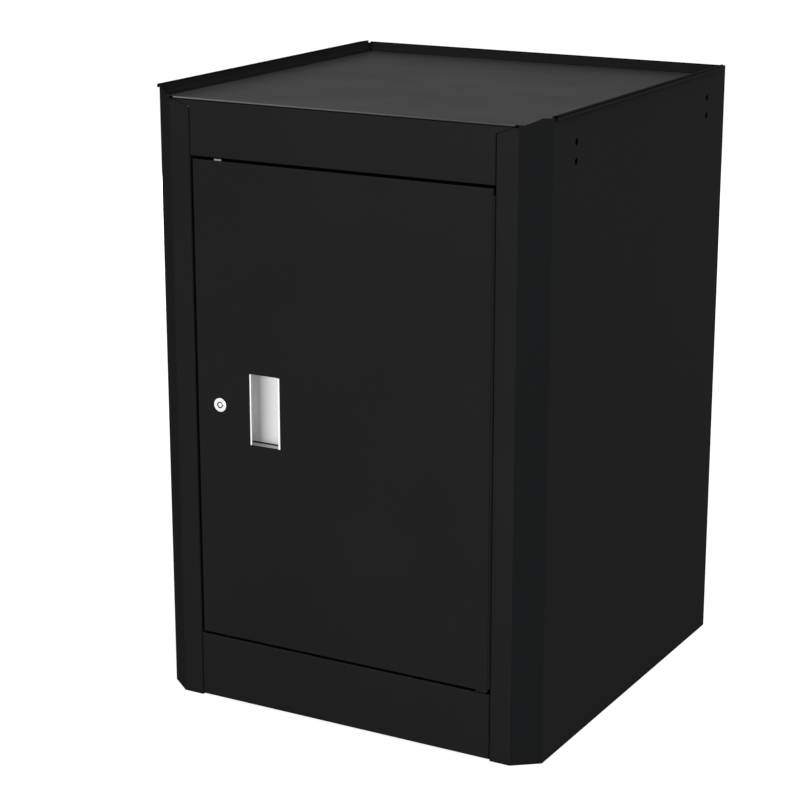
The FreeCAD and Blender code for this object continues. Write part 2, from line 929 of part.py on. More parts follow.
def make_shelf_standard(name, hand, along):
    """Make one slotted strip, whose legs stand on the side panel."""
    body = new_body(name)
    half = s.standard_width / 2
    wall = standard_face + s.sheet
    plan = [
        (side_inner, along - half),
        (side_inner, along - half + s.sheet),
        (wall, along - half + s.sheet),
        (wall, along + half - s.sheet),
        (side_inner, along + half - s.sheet),
        (side_inner, along + half),
        (standard_face, along + half),
        (standard_face, along - half),
    ]
    corners = [(hand * across, place) for across, place in plan]
    pad_outline(body, LEVEL_PLANE, standard_low, corners, standard_length)
    reach = s.slot_width / 2
    slot = (along - reach, first_slot, along + reach, first_slot + s.slot_tall)
    first = cut_box(body, SIDE_PLANE, hand * standard_face, slot, s.sheet, hand)
    repeat(body, [first], "Z_Axis", s.slot_pitch, slot_count())


def shelf_slot_level(slot):
    """Return the level of the bottom of this slot, counted from the lowest."""
    return first_slot + s.slot_pitch * slot


def standard_places():
    """Return the places of the front and rear standards along the side."""
    return front + s.standard_front, rear - s.standard_rear


def make_shelf_clips(name, slot):
    """Make the four clips of one shelf, hooked into the standards."""
    body = new_body(name)
    low = shelf_slot_level(slot)
    top = low + s.clip_sheet
    back = standard_face + s.sheet + s.clip_play
    leg = standard_face - s.clip_sheet
    hook = [
        (standard_face - s.clip_ledge, low),
        (leg, low),
        (leg, low - s.clip_leg),
        (standard_face, low - s.clip_leg),
        (standard_face, low),
        (back + s.clip_sheet, low),
        (back + s.clip_sheet, low + s.clip_hook),
        (back, low + s.clip_hook),
        (back, top),
        (standard_face - s.clip_ledge, top),
    ]
    for hand in (-1, 1):
        corners = [(hand * across, level) for across, level in hook]
        for along in standard_places():
            start = along - s.clip_width / 2
            pad_outline(body, FRONT_PLANE, start, corners, s.clip_width, 1)


def make_shelf(name, slot):
    """Make one shelf: a shallow pan, upside down, on its four clips."""
    body = new_body(name)
    low = shelf_slot_level(slot) + s.clip_sheet
    half = standard_face - s.shelf_side_gap
    start = front + s.shelf_front_gap
    end = rear_flange_inner - s.shelf_rear_gap
    pad_box(body, LEVEL_PLANE, low, (-half, start, half, end), s.shelf_flange)
    hollow = (
        -half + s.shelf_sheet,
        start + s.shelf_sheet,
        half - s.shelf_sheet,
        end - s.shelf_sheet,
    )
    cut_box(body, LEVEL_PLANE, low, hollow, s.shelf_flange - s.shelf_sheet, 1)
    for place in (start, end - s.shelf_hem):
        hem = (-half, place, half, place + s.shelf_hem)
        pad_box(body, LEVEL_PLANE, low, hem, s.shelf_sheet)
    top = low + s.shelf_flange

    def top_fold(edge):
        long_edge = passes(edge, ALONG_X, y=[start, end], z=[top])
        return long_edge or passes(edge, ALONG_Y, x=[half, -half], z=[top])

    round_edges(body, s.shelf_bend, top_fold)


# ---------------------------------------------------------------- door


def pull_opening():
    """Return the left, low, right and top edges of the opening for the pull."""
    left = door_left + s.pull_left + s.pull_left_flange
    right = door_left + s.pull_left + s.pull_width - s.pull_right_flange
    low = lock_level - s.pull_drop - s.pull_tall / 2
    return left, low, right, low + s.pull_tall


def make_door_skin():
    """Make the door: a pan that opens to the rear, with a lip round its back."""
    body = new_body("door_skin")
    face = (door_left, s.door_low, door_right, door_top)
    pad_box(body, FRONT_PLANE, front, face, s.door_depth, 1)
    hollow = (
        door_left + s.sheet,
        s.door_low + s.sheet,
        door_right - s.sheet,
        door_top - s.sheet,
    )
    cut_box(body, FRONT_PLANE, door_back - s.sheet, hollow, s.door_depth - s.sheet * 2, -1)
    mouth = (
        door_left + s.door_lip,
        s.door_low + s.door_lip,
        door_right - s.door_lip,
        door_top - s.door_lip,
    )
    cut_box(body, FRONT_PLANE, door_back, mouth, s.sheet, -1)

    def front_fold(edge):
        level = passes(edge, ALONG_X, y=[front], z=[s.door_low, door_top])
        return level or passes(edge, ALONG_Z, y=[front], x=[door_left, door_right])

    round_edges(body, s.bend, front_fold)
    tab_low = s.door_low - s.tab_drop
    tab = (door_right - s.tab_width, tab_low, door_right - s.bend, s.door_low + s.bend)
    pad_box(body, FRONT_PLANE, front, tab, s.sheet, 1)
    left, low, right, top = pull_opening()
    opening = (left - s.fit_gap, low - s.fit_gap, right + s.fit_gap, top + s.fit_gap)
    cut_box(body, FRONT_PLANE, front, opening, s.sheet, 1)
    flat = s.barrel_flat + s.fit_gap
    lock_hole = new_sketch(body, FRONT_PLANE, front)
    draw_flatted_circle(lock_hole, lock_across, lock_level, s.barrel + s.fit_gap, flat)
    add_pocket(body, lock_hole, s.sheet, 1)
    cut_rod_slot(body, door_top, s.sheet)
    cut_rod_slot(body, s.door_low + s.sheet, s.sheet)


def draw_flatted_circle(sketch, across, along, radius, flat):
    """Draw a circle with two opposite flats, left and right, at this distance."""
    across, along = as_size(across), as_size(along)
    rise = root(radius * radius - flat * flat)
    centre = FreeCAD.Vector(across.value, along.value, 0)
    turn = math.atan2(rise.value, flat.value)
    circle = Part.Circle(centre, FreeCAD.Vector(0, 0, 1), radius.value)
    top = sketch.addGeometry(Part.ArcOfCircle(circle, turn, math.pi - turn), False)
    bottom = sketch.addGeometry(Part.ArcOfCircle(circle, math.pi + turn, -turn), False)
    places = {
        "top_right": (across + flat, along + rise),
        "top_left": (across - flat, along + rise),
        "low_left": (across - flat, along - rise),
        "low_right": (across + flat, along - rise),
    }
    vectors = {
        name: FreeCAD.Vector(x.value, y.value, 0) for name, (x, y) in places.items()
    }
    left = sketch.addGeometry(
        Part.LineSegment(vectors["top_left"], vectors["low_left"]), False
    )
    right = sketch.addGeometry(
        Part.LineSegment(vectors["low_right"], vectors["top_right"]), False
    )
    for first, first_end, second, second_end in (
        (top, 2, left, 1),
        (left, 2, bottom, 1),
        (bottom, 2, right, 1),
        (right, 2, top, 1),
    ):
        rule = Sketcher.Constraint("Coincident", first, first_end, second, second_end)
        sketch.addConstraint(rule)
    tie_point(sketch, left, 1, places["top_left"])
    tie_point(sketch, left, 2, places["low_left"])
    tie_point(sketch, right, 1, places["low_right"])
    tie_point(sketch, right, 2, places["top_right"])
    for arc in (top, bottom):
        rule = Sketcher.Constraint("Radius", arc, radius.value)
        sketch.setExpression(f"Constraints[{sketch.addConstraint(rule)}]", radius.text)


def make_door_rib():
    """Make the upright hat-shaped rib that stiffens the door's skin."""
    body = new_body("door_rib")
    centre = door_left + s.rib_offset
    half = s.stiffener_width / 2
    web = half - s.stiffener_foot
    foot = skin_inner + s.sheet
    crown = skin_inner + s.stiffener_depth
    hat = [
        (centre - half, skin_inner),
        (centre - half, foot),
        (centre - web, foot),
        (centre - web, crown),
        (centre + web, crown),
        (centre + web, foot),
        (centre + half, foot),
        (centre + half, skin_inner),
        (centre + web - s.sheet, skin_inner),
        (centre + web - s.sheet, crown - s.sheet),
        (centre - web + s.sheet, crown - s.sheet),
        (centre - web + s.sheet, skin_inner),
    ]
    low = s.door_low + s.rib_end_gap
    pad_outline(body, LEVEL_PLANE, low, hat, door_top - s.rib_end_gap - low)


def make_door_bumpers():
    """Make the rubber bumpers on the stop lip, which quiet the closing door."""
    body = new_body("door_bumpers")
    across = -stile_edge + s.bumper_inset
    thickness = return_face - door_back - s.bumper_gap
    middle = (s.door_low + door_top) / 2
    levels = (s.door_low + s.bumper_end, middle, door_top - s.bumper_end)
    centres = [(across, level) for level in levels]
    pad_discs(body, FRONT_PLANE, return_face - thickness, centres, s.bumper, thickness, 1)


# ---------------------------------------------------------------- hinge


def make_hinge_leaf(name, hand, first_knuckle, number):
    """Make one leaf of the full-length hinge; hand is 1 for the cabinet's leaf.

    The knuckles of the two leaves take turns along the pin, and first_knuckle counts
    from the bottom.
    """
    body = new_body(name)
    outer = hinge_across + hand * s.hinge_gap / 2
    inner = outer - hand * s.leaf_sheet
    edges = sorted((outer, inner), key=by_value)
    plate_start = hinge_along + s.knuckle + s.leaf_clearance
    plate = (edges[0], plate_start, edges[1], plate_start + s.leaf_depth)
    pad_box(body, LEVEL_PLANE, hinge_low, plate, hinge_length)
    pitch = hinge_length / s.knuckle_number
    low = hinge_low + pitch * first_knuckle
    length = pitch - s.knuckle_gap
    centre = [(hinge_across, hinge_along)]
    barrel = pad_discs(body, LEVEL_PLANE, low, centre, s.knuckle, length)
    neck_box = (edges[0], hinge_along + s.pin, edges[1], plate_start + s.leaf_sheet)
    neck = pad_box(body, LEVEL_PLANE, low, neck_box, length)
    repeat(body, [barrel, neck], "Z_Axis", pitch * 2, number)
    bore = s.pin + s.pin_play
    cut_discs(body, LEVEL_PLANE, hinge_low, centre, bore, hinge_length, 1)


def make_hinge_pin():
    """Make the wire that the two leaves turn on."""
    body = new_body("hinge_pin")
    centre = [(hinge_across, hinge_along)]
    pad_discs(body, LEVEL_PLANE, hinge_low, centre, s.pin, hinge_length)


# ---------------------------------------------------------------- recessed pull


def make_pull_cup():
    """Make the recessed pull: two front flanges and a cup that runs in behind the skin."""
    body = new_body("pull_cup")
    left, low, right, top = pull_opening()
    flange_left = left - s.pull_left_flange
    flange_right = right + s.pull_right_flange
    face = front - s.pull_rise
    wall = s.pull_sheet
    cave = left - s.pull_undercut
    cup_back = front + s.pull_depth
    plan = [
        (flange_left, face),
        (left + wall, face),
        (left + wall, skin_inner + wall),
        (cave, skin_inner + wall),
        (cave, cup_back),
        (right - wall, cup_back),
        (right - wall, face),
        (flange_right, face),
        (flange_right, front),
        (right, front),
        (right, cup_back + wall),
        (cave - wall, cup_back + wall),
        (cave - wall, skin_inner),
        (left, skin_inner),
        (left, front),
        (flange_left, front),
    ]
    pad_outline(body, LEVEL_PLANE, low, plan, s.pull_tall)

    def cave_bend(edge):
        return passes(edge, ALONG_Z, x=[cave], y=[cup_back])

    def finger_bend(edge):
        return passes(edge, ALONG_Z, x=[right - wall], y=[cup_back])

    round_edges(body, s.pull_cave_bend, cave_bend)
    round_edges(body, s.pull_bend, finger_bend)

    flange_edges = [flange_left, flange_right, left + wall, right - wall]

    def rim(edge):
        return passes(edge, ALONG_Z, x=flange_edges, y=[face])

    round_edges(body, s.pull_round, rim)
    # A gap shows between the back of the cup and the folded floor.
    seam = (cave, low, right - wall, low + s.pull_seam)
    cut_box(body, FRONT_PLANE, cup_back + wall, seam, s.pull_bend + wall, -1)
    cap = (cave - wall, skin_inner, right, cup_back + wall)
    for level in (low - wall, top):
        pad_box(body, LEVEL_PLANE, level, cap, wall)


# ---------------------------------------------------------------- lock


def make_lock_housing():
    """Make the lock's body: a round bezel and a barrel with two flats."""
    body = new_body("lock_housing")
    centre = [(lock_across, lock_level)]
    face = front - s.bezel_rise
    pad_discs(body, FRONT_PLANE, face, centre, s.bezel, s.bezel_rise, 1)

    def bezel_rim(edge):
        rim = isinstance(edge.Curve, Part.Circle)
        return rim and abs(edge.CenterOfMass.y - face.value) < 0.01

    round_edges(body, s.bezel_round, bezel_rim)
    groove = new_sketch(body, FRONT_PLANE, face)
    draw_circle(groove, lock_across, lock_level, s.bezel_groove)
    draw_circle(groove, lock_across, lock_level, s.bezel_groove + s.bezel_groove_width)
    add_pocket(body, groove, s.bezel_groove_depth, 1)
    barrel = new_sketch(body, FRONT_PLANE, front)
    draw_flatted_circle(barrel, lock_across, lock_level, s.barrel, s.barrel_flat)
    add_pad(body, barrel, s.barrel_length, 1)
    bore = s.plug + s.plug_play
    bore_start = face + s.keyway_depth
    bore_length = s.barrel_length + s.bezel_rise - s.keyway_depth
    cut_discs(body, FRONT_PLANE, bore_start, centre, bore, bore_length, 1)
    cut_discs(body, FRONT_PLANE, face, centre, s.keyway, s.keyway_depth, 1)
    half = s.keyway_notch / 2
    notch = (
        lock_across,
        lock_level - half,
        lock_across + s.keyway + s.keyway_notch,
        lock_level + half,
    )
    cut_box(body, FRONT_PLANE, face, notch, s.keyway_depth - s.bezel_rise, 1)


def make_lock_nut():
    """Make the six-sided nut that clamps the housing to the door's skin."""
    body = new_body("lock_nut")
    corner = s.lock_nut_flat / (root(as_size(3)) / 2)
    half = corner / 2
    six = [
        (lock_across + corner, lock_level),
        (lock_across + half, lock_level + s.lock_nut_flat),
        (lock_across - half, lock_level + s.lock_nut_flat),
        (lock_across - corner, lock_level),
        (lock_across - half, lock_level - s.lock_nut_flat),
        (lock_across + half, lock_level - s.lock_nut_flat),
    ]
    pad_outline(body, FRONT_PLANE, skin_inner, six, s.lock_nut_thick, 1)
    hole = s.barrel + s.rivet_clearance
    centre = [(lock_across, lock_level)]
    cut_discs(body, FRONT_PLANE, skin_inner, centre, hole, s.lock_nut_thick, 1)


def make_lock_plug():
    """Make the part that the key turns: a post in the keyway, a drum and a flat tail."""
    body = new_body("lock_plug")
    centre = [(lock_across, lock_level)]
    drum_start = front - s.bezel_rise + s.keyway_depth + s.plug_play
    post_start = front - s.bezel_rise + s.bezel_round / 2
    post_length = drum_start - post_start
    pad_discs(body, FRONT_PLANE, post_start, centre, s.key_post, post_length, 1)
    pad_discs(body, FRONT_PLANE, drum_start, centre, s.plug, plug_end - drum_start, 1)
    tail = new_sketch(body, FRONT_PLANE, plug_end)
    draw_flatted_circle(tail, lock_across, lock_level, s.plug_tail, s.plug_tail_flat)
    add_pad(body, tail, s.cam_sheet, 1)
    hole = s.cam_screw + s.plug_play
    cut_discs(body, FRONT_PLANE, cam_end, centre, hole, s.cam_screw_length, -1)


def cam_pin_centres():
    """Return the places of the upper rod's pin (left) and the lower rod's pin (right)."""
    left = (lock_across - cam_pin_offset, lock_level - cam_pin_offset)
    right = (lock_across + cam_pin_offset, lock_level + cam_pin_offset)
    return left, right


def make_lock_cam():
    """Make the bar across the plug's tail, with a pin for each rod."""
    body = new_body("lock_cam")
    skew = s.cam_half_width / root(as_size(2))
    reach = cam_pin_offset
    bar = [
        (lock_across - reach + skew, lock_level - reach - skew),
        (lock_across + reach + skew, lock_level + reach - skew),
        (lock_across + reach - skew, lock_level + reach + skew),
        (lock_across - reach - skew, lock_level - reach + skew),
    ]
    pad_outline(body, FRONT_PLANE, plug_end, bar, s.cam_sheet, 1)
    ends = cam_pin_centres()
    pad_discs(body, FRONT_PLANE, plug_end, ends[:1], s.cam_half_width, s.cam_sheet, 1)
    pad_discs(body, FRONT_PLANE, plug_end, ends[1:], s.cam_half_width, s.cam_sheet, 1)
    hole = new_sketch(body, FRONT_PLANE, plug_end)
    play = s.plug_play
    draw_flatted_circle(
        hole, lock_across, lock_level, s.plug_tail + play, s.plug_tail_flat + play
    )
    add_pocket(body, hole, s.cam_sheet, 1)
    pin_length = s.rod_low_play + s.rod_thick + s.cam_gap
    pad_discs(body, FRONT_PLANE, cam_end, ends, s.cam_pin, pin_length, 1)


def make_cam_screw():
    """Make the screw that holds the cam on the plug."""
    body = new_body("cam_screw")
    centre = [(lock_across, lock_level)]
    length = s.cam_screw_length - s.cam_gap
    pad_discs(body, FRONT_PLANE, cam_end - length, centre, s.cam_screw, length, 1)
    pad_discs(body, FRONT_PLANE, cam_end, centre, s.cam_screw_head, s.cam_screw_rise, 1)
    reach, half = s.cam_cross_reach, s.cam_cross_half
    head_top = cam_end + s.cam_screw_rise
    for across, tall in ((reach, half), (half, reach)):
        cross = (
            lock_across - across,
            lock_level - tall,
            lock_across + across,
            lock_level + tall,
        )
        cut_box(body, FRONT_PLANE, head_top, cross, s.cam_screw_rise / 2, -1)


# ---------------------------------------------------------------- lock rods


def make_lock_rod(name, hand):
    """Make one rod; hand is 1 for the upper rod and -1 for the lower one.

    A foot beside the lock takes the cam's pin in a level slot. Above it the rod steps
    forward, and then it runs close behind the skin and out of the door's edge.
    """
    body = new_body(name)
    pin_level = lock_level - hand * cam_pin_offset
    neck = lock_level + hand * s.foot_neck
    step = lock_level + hand * s.rod_joggle_start
    step_end = step + hand * s.rod_joggle
    edge = door_top if hand > 0 else s.door_low
    tip = edge + hand * s.rod_tip_rise
    point = tip - hand * s.rod_point
    profile = [
        (foot_front, neck),
        (foot_rear, neck),
        (foot_rear, step),
        (rod_rear, step_end),
        (rod_rear, point),
        (rod_rear - s.rod_bevel, tip),
        (rod_front + s.rod_bevel, tip),
        (rod_front, point),
        (rod_front, step_end),
        (foot_front, step),
    ]
    left = lock_across - s.rod_width / 2
    pad_outline(body, SIDE_PLANE, left, profile, s.rod_width)
    # The upper rod's foot lies to the left of the lock, the lower rod's to the right.
    inner = lock_across - hand * s.foot_inner
    outer = lock_across - hand * (s.cam_pin_reach + s.cam_pin + s.foot_outer)
    near = lock_across - hand * s.rod_width / 2
    far = lock_across + hand * s.rod_width / 2
    toe = pin_level - hand * s.foot_tall
    crown = neck + hand * s.rod_width
    foot = [
        (inner, toe),
        (inner, neck),
        (far, neck),
        (far, step),
        (near, step),
        (outer, crown),
        (outer, toe),
    ]
    pad_outline(body, FRONT_PLANE, foot_front, foot, s.rod_thick, 1)
    reach = s.cam_pin + s.slot_play
    slot_ends = (
        lock_across - hand * (cam_pin_offset - reach),
        lock_across - hand * (s.cam_pin_reach + reach),
    )
    left_end, right_end = sorted(slot_ends, key=by_value)
    slot = (left_end, pin_level - reach, right_end, pin_level + reach)
    cut_box(body, FRONT_PLANE, foot_front, slot, s.rod_thick, 1)


def make_rod_guide(name, level):
    """Make one plastic block that keeps a rod upright behind the skin."""
    body = new_body(name)
    half = s.guide_width / 2
    back = rod_rear + s.rod_play + s.guide_wall
    plan = (lock_across - half, skin_inner, lock_across + half, back)
    pad_box(body, LEVEL_PLANE, level, plan, s.guide_tall)
    cut_rod_slot(body, level + s.guide_tall, s.guide_tall)


def make_keeper(name, level):
    """Make one plate, with a slot for a rod's tip, that backs up the sheet there."""
    body = new_body(name)
    half = s.keeper_width / 2
    start = skin_inner + s.fit_gap
    plan = (lock_across - half, start, lock_across + half, start + s.keeper_depth)
    pad_box(body, LEVEL_PLANE, level, plan, s.keeper_thick)
    cut_rod_slot(body, level + s.keeper_thick, s.keeper_thick)


# ---------------------------------------------------------------- assembly

make_side_panel("left_side_panel", -1)
make_side_panel("right_side_panel", 1)
make_back_panel()
make_back_panel_rivets()
make_top_tray()
make_tray_stiffener()
make_kick_panel()
make_floor_pan()
make_base_rail("left_base_rail", -1)
make_base_rail("right_base_rail", 1)
make_rear_base_rail()

front_standard, rear_standard = standard_places()
make_shelf_standard("left_front_standard", -1, front_standard)
make_shelf_standard("left_rear_standard", -1, rear_standard)
make_shelf_standard("right_front_standard", 1, front_standard)
make_shelf_standard("right_rear_standard", 1, rear_standard)
make_shelf_clips("lower_shelf_clips", s.lower_shelf_slot)
make_shelf_clips("upper_shelf_clips", s.upper_shelf_slot)
make_shelf("lower_shelf", s.lower_shelf_slot)
make_shelf("upper_shelf", s.upper_shelf_slot)

make_door_skin()
make_door_rib()
make_door_bumpers()
knuckles = int(s.knuckle_number.value)
cabinet_knuckles = (knuckles + 1) // 2
door_knuckles = knuckles // 2
make_hinge_leaf("cabinet_hinge_leaf", 1, 0, cabinet_knuckles)
make_hinge_leaf("door_hinge_leaf", -1, 1, door_knuckles)
make_hinge_pin()
make_pull_cup()

make_lock_housing()
make_lock_nut()
make_lock_plug()
make_lock_cam()
make_cam_screw()
make_lock_rod("upper_lock_rod", 1)
make_lock_rod("lower_lock_rod", -1)
make_rod_guide("upper_rod_guide", door_top - s.guide_end - s.guide_tall)
make_rod_guide("lower_rod_guide", s.door_low + s.guide_end)
make_keeper("upper_keeper", header_low + s.sheet)
make_keeper("lower_keeper", floor_under - s.keeper_thick)

doc.recompute()


# ---------------------------------------------------------------- checks and files


def check_document():
    """Stop with a message if any object failed or any sub-part isn't a sound solid."""
    faults = []
    for item in doc.Objects:
        if "Invalid" in item.State or "Error" in item.State:
            faults.append(f"{item.Name}: {item.State}")
    for body in nodes:
        if body.Shape.isNull():
            faults.append(f"{body.Label}: no shape")
        elif not body.Shape.isValid() or not body.Shape.Solids:
            faults.append(f"{body.Label}: not a sound solid")
    if faults:
        raise RuntimeError("; ".join(faults))


def export_parts():
    """Write each sub-part to a file of its own."""
    os.makedirs("parts", exist_ok=True)
    for body in nodes:
        body.Shape.exportStep(f"parts/{body.Label}.step")


check_document()
export_parts()
for body in nodes:
    print(f"{body.Label}: {len(body.Shape.Solids)} solid(s), {body.Shape.Volume:.0f} mm3")
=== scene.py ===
import json

import bpy
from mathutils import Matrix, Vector


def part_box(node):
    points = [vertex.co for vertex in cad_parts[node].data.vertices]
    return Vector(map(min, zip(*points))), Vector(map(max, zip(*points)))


# The finish of a tool chest side locker: powder coat on its sheets, zinc on what lies
# inside, a nickel pull and a chromed lock, in a plain white studio. Lengths are metres.

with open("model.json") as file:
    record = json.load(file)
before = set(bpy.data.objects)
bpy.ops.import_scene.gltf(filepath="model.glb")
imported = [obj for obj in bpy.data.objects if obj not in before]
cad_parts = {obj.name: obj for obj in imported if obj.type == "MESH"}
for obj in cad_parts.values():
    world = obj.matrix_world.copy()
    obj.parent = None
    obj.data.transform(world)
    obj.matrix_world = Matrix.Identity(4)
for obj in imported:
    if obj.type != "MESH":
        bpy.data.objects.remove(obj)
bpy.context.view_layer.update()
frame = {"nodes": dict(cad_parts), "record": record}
nodes = frame["nodes"]

MILLIMETRE = 0.001


# ---------------------------------------------------------------- places on the locker

TRAY_LOW, TRAY_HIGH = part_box("top_tray")
PULL_LOW, PULL_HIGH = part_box("pull_cup")
BACK_LOW, BACK_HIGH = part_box("back_panel")
SIDE_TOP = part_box("right_side_panel")[1].z
LOCK_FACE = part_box("lock_housing")[0].y

# The front ridge is the highest and foremost edge of the tray's sheet, with a scored
# line below its crown. It ends this far from the middle, at the left as at the right.
RIDGE_TOP = TRAY_HIGH.z
RIDGE_CROWN = RIDGE_TOP - 1.8 * MILLIMETRE
RIDGE_SEAM_TOP = RIDGE_TOP - 2.0 * MILLIMETRE
RIDGE_SEAM_LOW = RIDGE_SEAM_TOP - 1.3 * MILLIMETRE
RIDGE_BACK = TRAY_LOW.y + 4.4 * MILLIMETRE
# The painted highlight on the ridge's crown reaches back to here.
RIDGE_HIGHLIGHT_BACK = RIDGE_BACK - 1.2 * MILLIMETRE
RIDGE_POCKET_BACK = RIDGE_BACK + 0.2 * MILLIMETRE
RIDGE_END = BACK_HIGH.x - 42.5 * MILLIMETRE

# Lips stand around the tray: two of the side sheets, and one of the back panel. The
# sides' lips look at the middle from beyond these distances.
LIP_BAND = SIDE_TOP - 40 * MILLIMETRE
LIP_CROWN = 2.0 * MILLIMETRE
LIP_NEAR = 0.25
LIP_FAR = 0.28
BACK_LIP_FACE = BACK_LOW.y - 1.5 * MILLIMETRE

# The pull's flanges and mouth lie in front of its cup. The cup's left end is hidden.
# Painted shade in the cup is darkest a little right of that end and fades towards the
# right, and a dark line of painted shade runs along the bottom of its back wall.
PULL_MOUTH = PULL_LOW.y + 3 * MILLIMETRE
PULL_OUTSIDE = PULL_HIGH.y - 0.3 * MILLIMETRE
PULL_SEAM_FACE = PULL_HIGH.y - 1.6 * MILLIMETRE
PULL_SEAM_TOP = PULL_LOW.z + 2.4 * MILLIMETRE
PULL_HIDDEN = PULL_LOW.x + 5 * MILLIMETRE
PULL_HIDDEN_WIDTH = 13 * MILLIMETRE
# Painted shade in the cup lightens over this stretch.
PULL_SHADE_FADE = PULL_LOW.x + 17 * MILLIMETRE
PULL_SHADE_FADE_WIDTH = 28 * MILLIMETRE

# The lock's grooves and keyway lie behind its front face.
LOCK_RECESS = LOCK_FACE + 0.6 * MILLIMETRE

# A mask goes from 0 to 1 over one of these lengths.
SHARP = 0.2 * MILLIMETRE
CLEAR = 0.3 * MILLIMETRE
SOFT = 0.8 * MILLIMETRE

# A mask of the way that a surface faces goes from 0 to 1 over this much of its normal.
FACING_FADE = 0.3

# A noise texture gives 0 to 1, and nearly all of it lies between these two levels.
NOISE_LOW = 0.35
NOISE_HIGH = 0.65


# ---------------------------------------------------------------- node helpers


class Recipe:
    """One procedural material while its nodes are put together."""

    def __init__(self, name):
        self.material = bpy.data.materials.new(name)
        self.material.use_nodes = True
        self.tree = self.material.node_tree
        self.shader = self.tree.nodes["Principled BSDF"]
        coordinates = self.tree.nodes.new("ShaderNodeTexCoord")
        self.place = coordinates.outputs["Object"]
        self.facing = coordinates.outputs["Normal"]

    def add(self, kind, inputs, **settings):
        """Add a node, set it up, and link or fill the inputs that are named."""
        node = self.tree.nodes.new(kind)
        for name, value in settings.items():
            setattr(node, name, value)
        for key, value in inputs.items():
            self.feed(node.inputs[key], value)
        return node

    def feed(self, socket, value):
        """Link a socket to another one, or give it a plain value."""
        if isinstance(value, bpy.types.NodeSocket):
            self.tree.links.new(value, socket)
        else:
            socket.default_value = value

    def finish(self, **inputs):
        """Set the shader's inputs, named with underscores for spaces."""
        for name, value in inputs.items():
            self.feed(self.shader.inputs[name.replace("_", " ")], value)
        return self.material

    def stretched(self, x, y, z):
        """Return the place on the surface with its three axes scaled."""
        node = self.add("ShaderNodeMapping", {"Vector": self.place, "Scale": (x, y, z)})
        return node.outputs["Vector"]

    def split(self, vector):
        """Return the X, Y and Z outputs of a vector."""
        return self.add("ShaderNodeSeparateXYZ", {"Vector": vector}).outputs

    def noise(self, size, detail, place=None):
        """Return soft noise, 0 to 1, whose lumps are about this size."""
        inputs = {
            "Vector": place or self.place,
            "Scale": 1 / size,
            "Detail": detail,
            "Roughness": 0.55,
        }
        return self.add("ShaderNodeTexNoise", inputs).outputs["Fac"]

    def cells(self, size):
        """Return a level for each of many small cells of about this size."""
        inputs = {"Vector": self.place, "Scale": 1 / size}
        colour = self.add("ShaderNodeTexVoronoi", inputs).outputs["Color"]
        return self.add("ShaderNodeSeparateColor", {"Color": colour}).outputs["Red"]

    def spread(self, value, low, high, start=NOISE_LOW, end=NOISE_HIGH):
        """Return a value that was between start and end, spread from low to high."""
        inputs = {
            "Value": value,
            "From Min": start,
            "From Max": end,
            "To Min": low,
            "To Max": high,
        }
        return self.add("ShaderNodeMapRange", inputs).outputs["Result"]

    def rise(self, value, start, end):
        """Return 0 for a value up to start, 1 for one from end on, and a slope between."""
        return self.spread(value, low=0.0, high=1.0, start=start, end=end)

    def fall(self, value, start, end):
        """Return 1 for a value up to start, 0 for one from end on, and a slope between."""
        return self.spread(value, low=1.0, high=0.0, start=start, end=end)

    def multiply(self, first, second):
        """Return the product of two values."""
        node = self.add("ShaderNodeMath", {0: first, 1: second}, operation="MULTIPLY")
        return node.outputs["Value"]

    def most(self, first, second):
        """Return the greater of two values."""
        node = self.add("ShaderNodeMath", {0: first, 1: second}, operation="MAXIMUM")
        return node.outputs["Value"]

    def magnitude(self, value):
        """Return a value without its sign."""
        node = self.add("ShaderNodeMath", {0: value}, operation="ABSOLUTE")
        return node.outputs["Value"]

    def blend(self, share, first, second):
        """Return the colour that goes from first to second with share."""
        node = self.add("ShaderNodeMix", {"Factor": share}, data_type="RGBA")
        self.feed(node.inputs["A"], first)
        self.feed(node.inputs["B"], second)
        return node.outputs["Result"]

    def mottle(self, noise, first, second):
        """Return the colour that varies between first and second with noise."""
        return self.blend(self.spread(noise, low=0.0, high=1.0), first, second)

    def edges(self, radius):
        """Return 1 along the piece's edges and 0 on its flat stretches."""
        bent = self.add("ShaderNodeBevel", {"Radius": radius}, samples=4)
        flat = self.add("ShaderNodeNewGeometry", {})
        inputs = {0: bent.outputs["Normal"], 1: flat.outputs["Normal"]}
        # The two normals match by 1 on a flat face, and by 0.7 on a square edge.
        match = self.add("ShaderNodeVectorMath", inputs, operation="DOT_PRODUCT")
        return self.fall(match.outputs["Value"], start=0.72, end=0.985)

    def crevices(self, reach):
        """Return 1 deep in seams, gaps and inner corners, where painted shade goes, and 0 in
        the open.
        """
        inputs = {"Distance": reach}
        node = self.add("ShaderNodeAmbientOcclusion", inputs, samples=6)
        return self.fall(node.outputs["AO"], start=0.2, end=0.6)

    def above(self, axis, level, over):
        """Return 0 where the place on an axis is below a level, and 1 beyond it."""
        return self.rise(self.split(self.place)[axis], start=level, end=level + over)

    def below(self, axis, level, over):
        """Return 1 where the place on an axis is below a level, and 0 beyond it."""
        return self.fall(self.split(self.place)[axis], start=level, end=level + over)

    def faces(self, axis, level):
        """Return 1 where the surface faces along an axis by more than a level, else 0."""
        share = self.split(self.facing)[axis]
        return self.rise(share, start=level, end=level + FACING_FADE)

    def bump(self, height, depth, strength):
        """Return the normal of a surface whose height varies by this depth."""
        inputs = {"Height": height, "Distance": depth, "Strength": strength}
        return self.add("ShaderNodeBump", inputs).outputs["Normal"]


def grey(level, blue=0.0):
    """Return a grey of this linear level, a little towards blue."""
    return (level, level, level * (1 + blue), 1.0)


# ---------------------------------------------------------------- black paint

# Painted shade in seams, gaps and inner corners.
CREVICE_SHADE = grey(0.0015)
# Painted shade in the ridge's seam and in the pockets at its ends.
SEAM_SHADE = grey(0.002)
